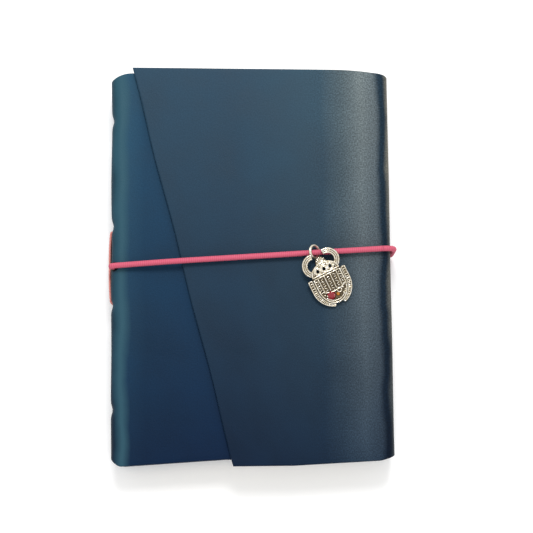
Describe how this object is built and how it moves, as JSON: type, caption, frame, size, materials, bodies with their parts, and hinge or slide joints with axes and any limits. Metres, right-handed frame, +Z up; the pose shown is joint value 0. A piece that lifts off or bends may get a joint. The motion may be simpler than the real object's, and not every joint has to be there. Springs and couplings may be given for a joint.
{
  "type": "leather notebook",
  "caption": "Pocket notebook in a wrap-round blue leather cover with a slanted flap, sewn paper sections, a pink elastic closure and a scarab charm.",
  "frame": {"origin": "on the surface it lies on, under the middle of the object's bounding box", "axes": "+X towards the fore edge, +Y towards the head of the pages, +Z up through the cover"},
  "size_m": [0.1144, 0.158, 0.0276],
  "materials": {
    "leather": "smooth blue leather with pale burnished wear at the folds",
    "paper": "matt cream paper, torn edges",
    "elastic": "round woven elastic cord",
    "thread": "waxed salmon thread",
    "charm_metal": "antique silver casting with dark recesses",
    "stone": "faceted red glass"
  },
  "bodies": {
    "book": {"back_cover": "leather", "spine": "leather", "section_1": "paper", "section_2": "paper", "section_3": "paper", "section_4": "paper", "stitch_1": "thread", "stitch_2": "thread", "stitch_3": "thread", "stitch_4": "thread", "stitch_5": "thread", "elastic_rear_run": "elastic"},
    "fore_edge_strip": {"fore_edge_strip": "leather"},
    "flap": {"flap": "leather"},
    "front_cover": {"front_cover": "leather"},
    "top_section": {"section_5": "paper"},
    "leaf_1": {"leaf_1": "paper"},
    "leaf_2": {"leaf_2": "paper"},
    "cord_front": {"elastic_front_run": "elastic"},
    "cord_bend": {"elastic_fore_edge_bend": "elastic"},
    "charm_loop": {"charm_loop": "charm_metal"},
    "charm": {"scarab_charm": "charm_metal", "red_stone": "stone"}
  },
  "joints": [
    {"name": "flap_open", "type": "hinge", "parent": "fore_edge_strip", "child": "flap", "pos_m": [0.05503, 0, 0.018], "axis": [0, 1, 0], "range_deg": [0, 102], "deforming": ["flap"]},
    {"name": "strip_fold", "type": "hinge", "parent": "book", "child": "fore_edge_strip", "pos_m": [0.05503, 0, 0.0065], "axis": [0, 1, 0], "range_deg": [0, 80.01]},
    {"name": "front_cover_open", "type": "hinge", "parent": "book", "child": "front_cover", "pos_m": [-0.05592, 0, 0.0159], "axis": [0, -1, 0], "range_deg": [0, 165.01]},
    {"name": "section_turn", "type": "hinge", "parent": "book", "child": "top_section", "pos_m": [-0.05327, 0, 0.0179], "axis": [0, -1, 0], "range_deg": [0, 150.01]},
    {"name": "leaf_1_turn", "type": "hinge", "parent": "book", "child": "leaf_1", "pos_m": [-0.05327, 0, 0.0179], "axis": [0, -1, 0], "range_deg": [0, 70.01]},
    {"name": "leaf_2_turn", "type": "hinge", "parent": "book", "child": "leaf_2", "pos_m": [-0.05327, 0, 0.0179], "axis": [0, -1, 0], "range_deg": [0, 110.01]},
    {"name": "cord_release", "type": "hinge", "parent": "book", "child": "cord_front", "pos_m": [-0.05592, 0, 0.0159], "axis": [0, -1, 0], "range_deg": [0, 180.01], "deforming": ["elastic_front_run"]},
    {"name": "cord_twist", "type": "hinge", "parent": "cord_front", "child": "cord_bend", "pos_m": [-0.05572, -0.0004, 0.02435], "axis": [0.9987, 0.0506, 0], "range_deg": [0, 106.01], "deforming": ["elastic_fore_edge_bend"]},
    {"name": "charm_slide", "type": "slide", "parent": "cord_front", "child": "charm_loop", "axis": [0.9987, 0.0506, 0], "range_m": [-0.045, 0.012]},
    {"name": "charm_swing", "type": "hinge", "parent": "charm_loop", "child": "charm", "pos_m": [0.02466, 0.00407, 0.02435], "axis": [-0.9987, -0.0506, 0], "range_deg": [0, 120]}
  ],
  "couplings": [
    {"joint": "strip_fold", "follows": "flap_open", "ratio": 0.78431},
    {"joint": "front_cover_open", "follows": "flap_open", "ratio": 1.6176},
    {"joint": "section_turn", "follows": "flap_open", "ratio": 1.4706},
    {"joint": "leaf_1_turn", "follows": "flap_open", "ratio": 0.68627},
    {"joint": "leaf_2_turn", "follows": "flap_open", "ratio": 1.0784},
    {"joint": "cord_release", "follows": "flap_open", "ratio": 1.7647},
    {"joint": "cord_twist", "follows": "flap_open", "ratio": 1.0392}
  ]
}
